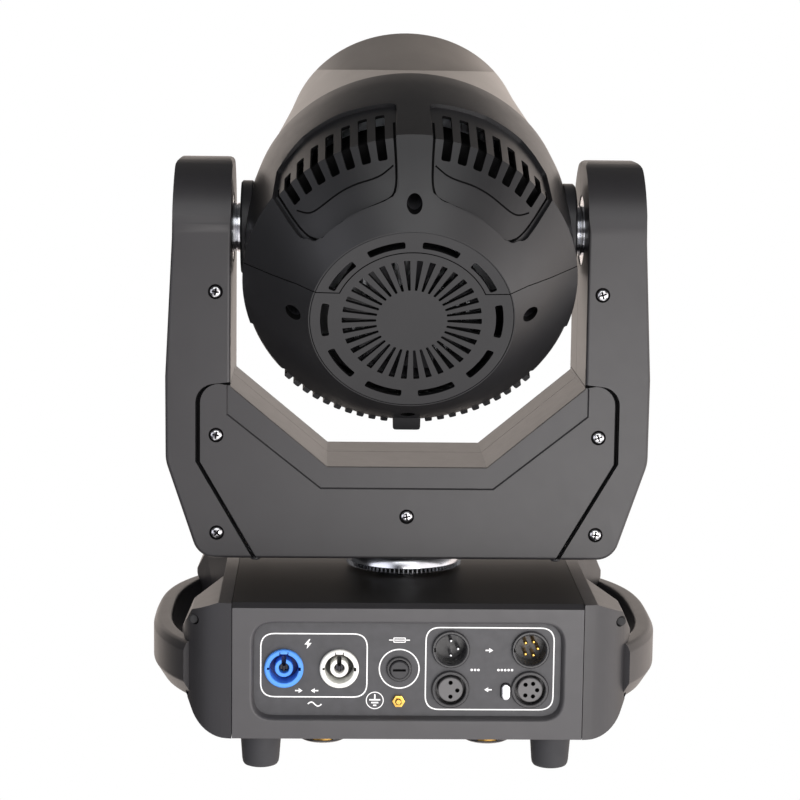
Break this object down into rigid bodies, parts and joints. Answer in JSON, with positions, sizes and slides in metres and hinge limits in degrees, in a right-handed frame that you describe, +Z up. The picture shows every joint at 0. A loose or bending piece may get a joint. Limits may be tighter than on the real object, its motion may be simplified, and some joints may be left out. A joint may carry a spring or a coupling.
{
  "type": "moving head light",
  "caption": "Moving head stage light: base with connector panel and bow handles, panning U-shaped yoke and tilting round head with fan grille and lens.",
  "frame": {"origin": "on the floor plane under the pan axis, midway between the feet", "axes": "+X to the right seen from the connector side, +Y to the side the beam faces, +Z up"},
  "size_m": [0.324, 0.2701, 0.4527],
  "materials": {
    "charcoal_plastic": "satin moulded plastic, fine texture",
    "dark_plastic": "satin black moulded plastic",
    "head_plastic": "satin charcoal moulded plastic",
    "panel_paint": "satin charcoal powder coat",
    "top_paint": "semi-gloss black powder coat",
    "bare_steel": "bare steel",
    "bright_metal": "nickel-plated metal",
    "cast_aluminium": "bare aluminium",
    "gold_metal": "brass",
    "connector_black": "black nylon",
    "connector_blue": "blue nylon",
    "connector_grey": "light grey nylon",
    "button_plastic": "grey rubberised plastic",
    "foot_rubber": "soft black rubber",
    "belt_rubber": "toothed neoprene",
    "window_glass": "smoked display window",
    "lens_glass": "coated optical glass",
    "board_green": "solder mask",
    "lamp_yellow": "phosphor and copper board",
    "wheel_metal": "thin plated disc"
  },
  "bodies": {
    "base": {"base_chassis": "top_paint", "base_top_plate": "top_paint", "rear_panel": "panel_paint", "connector_plate": "panel_paint", "front_panel": "panel_paint", "display_window": "window_glass", "side_cover_left": "charcoal_plastic", "side_cover_right": "charcoal_plastic", "handle_left": "charcoal_plastic", "handle_right": "charcoal_plastic", "rubber_feet": "foot_rubber", "quarter_turn_sockets": "gold_metal", "power_inlet": "connector_blue", "power_outlet": "connector_grey", "fuse_holder": "connector_black", "xlr_males": "connector_black", "xlr_females": "connector_black", "earth_stud": "gold_metal", "power_supply": "cast_aluminium", "control_board": "board_green", "pan_hub": "bright_metal"},
    "yoke": {"yoke_frame": "bare_steel", "yoke_rear_cover": "charcoal_plastic", "yoke_front_cover": "charcoal_plastic", "arm_cover_left_rear": "charcoal_plastic", "arm_cover_right_rear": "charcoal_plastic", "arm_cover_left_front": "charcoal_plastic", "arm_cover_right_front": "charcoal_plastic", "bearings": "bright_metal", "pan_motor": "dark_plastic", "pan_belt": "belt_rubber", "tilt_motor": "dark_plastic", "tilt_belt": "belt_rubber", "yoke_screws": "bright_metal"},
    "head": {"head_top_cover": "head_plastic", "head_bottom_cover": "head_plastic", "head_front_cover": "charcoal_plastic", "front_bezel": "dark_plastic", "front_lens": "lens_glass", "rear_grille": "head_plastic", "head_frame": "bare_steel", "tilt_shafts": "bright_metal", "tilt_pulley": "cast_aluminium", "heat_sink": "cast_aluminium", "led_module": "lamp_yellow", "fan_frame": "connector_black", "effect_motors": "dark_plastic"},
    "pan_drive": {"pan_motor_pulley": "gold_metal"},
    "tilt_drive": {"tilt_motor_pulley": "gold_metal"},
    "fan": {"fan_rotor": "connector_black"},
    "colours": {"colour_wheel": "wheel_metal"},
    "gobos": {"gobo_wheel": "wheel_metal"},
    "focus": {"focus_carriage": "wheel_metal"},
    "fuse_cap": {"fuse_cap": "connector_black"},
    "latch": {"xlr_latch": "bright_metal"},
    "menu": {"menu_button": "button_plastic"},
    "down": {"down_button": "button_plastic"},
    "up": {"up_button": "button_plastic"},
    "enter": {"enter_button": "button_plastic"}
  },
  "joints": [
    {"name": "pan", "type": "hinge", "parent": "base", "child": "yoke", "pos_m": [0, 0, 0.12], "axis": [0, 0, 1], "range_deg": [-270, 270]},
    {"name": "tilt", "type": "hinge", "parent": "yoke", "child": "head", "pos_m": [0, 0, 0.3285], "axis": [1, 0, 0], "range_deg": [-71, 199]},
    {"name": "pan_motor_spin", "type": "hinge", "parent": "yoke", "child": "pan_drive", "pos_m": [0.07, 0, 0.1355], "axis": [0, 0, 1], "range_deg": [-1360, 1360]},
    {"name": "tilt_motor_spin", "type": "hinge", "parent": "yoke", "child": "tilt_drive", "pos_m": [-0.1225, 0, 0.2355], "axis": [1, 0, 0], "range_deg": [-360, 1000]},
    {"name": "fan_spin", "type": "hinge", "parent": "head", "child": "fan", "pos_m": [0, -0.08898, 0.2851], "axis": [0, 0.8988, 0.4384], "continuous": true},
    {"name": "colour_wheel_spin", "type": "hinge", "parent": "head", "child": "colours", "pos_m": [0, -0.01139, 0.28512], "axis": [0, 0.8988, 0.4384], "continuous": true},
    {"name": "gobo_wheel_spin", "type": "hinge", "parent": "head", "child": "gobos", "pos_m": [0, -0.03221, 0.35062], "axis": [0, 0.8988, 0.4384], "continuous": true},
    {"name": "focus_travel", "type": "slide", "parent": "head", "child": "focus", "axis": [0, 0.8988, 0.4384], "range_m": [0, 0.026]},
    {"name": "fuse_cap_turn", "type": "hinge", "parent": "base", "child": "fuse_cap", "pos_m": [-0.0052, -0.106, 0.0662], "axis": [0, -1, 0], "range_deg": [0, 90]},
    {"name": "latch_press", "type": "slide", "parent": "base", "child": "latch", "axis": [0, 1, 0], "range_m": [0, 0.0015], "stiffness_N_per_m": 800},
    {"name": "menu_press", "type": "slide", "parent": "base", "child": "menu", "axis": [0, -1, 0], "range_m": [0, 0.0012], "stiffness_N_per_m": 600},
    {"name": "down_press", "type": "slide", "parent": "base", "child": "down", "axis": [0, -1, 0], "range_m": [0, 0.0012], "stiffness_N_per_m": 600},
    {"name": "up_press", "type": "slide", "parent": "base", "child": "up", "axis": [0, -1, 0], "range_m": [0, 0.0012], "stiffness_N_per_m": 600},
    {"name": "enter_press", "type": "slide", "parent": "base", "child": "enter", "axis": [0, -1, 0], "range_m": [0, 0.0012], "stiffness_N_per_m": 600}
  ],
  "couplings": [
    {"joint": "pan_motor_spin", "follows": "pan", "ratio": -5},
    {"joint": "tilt_motor_spin", "follows": "tilt", "ratio": 5}
  ]
}
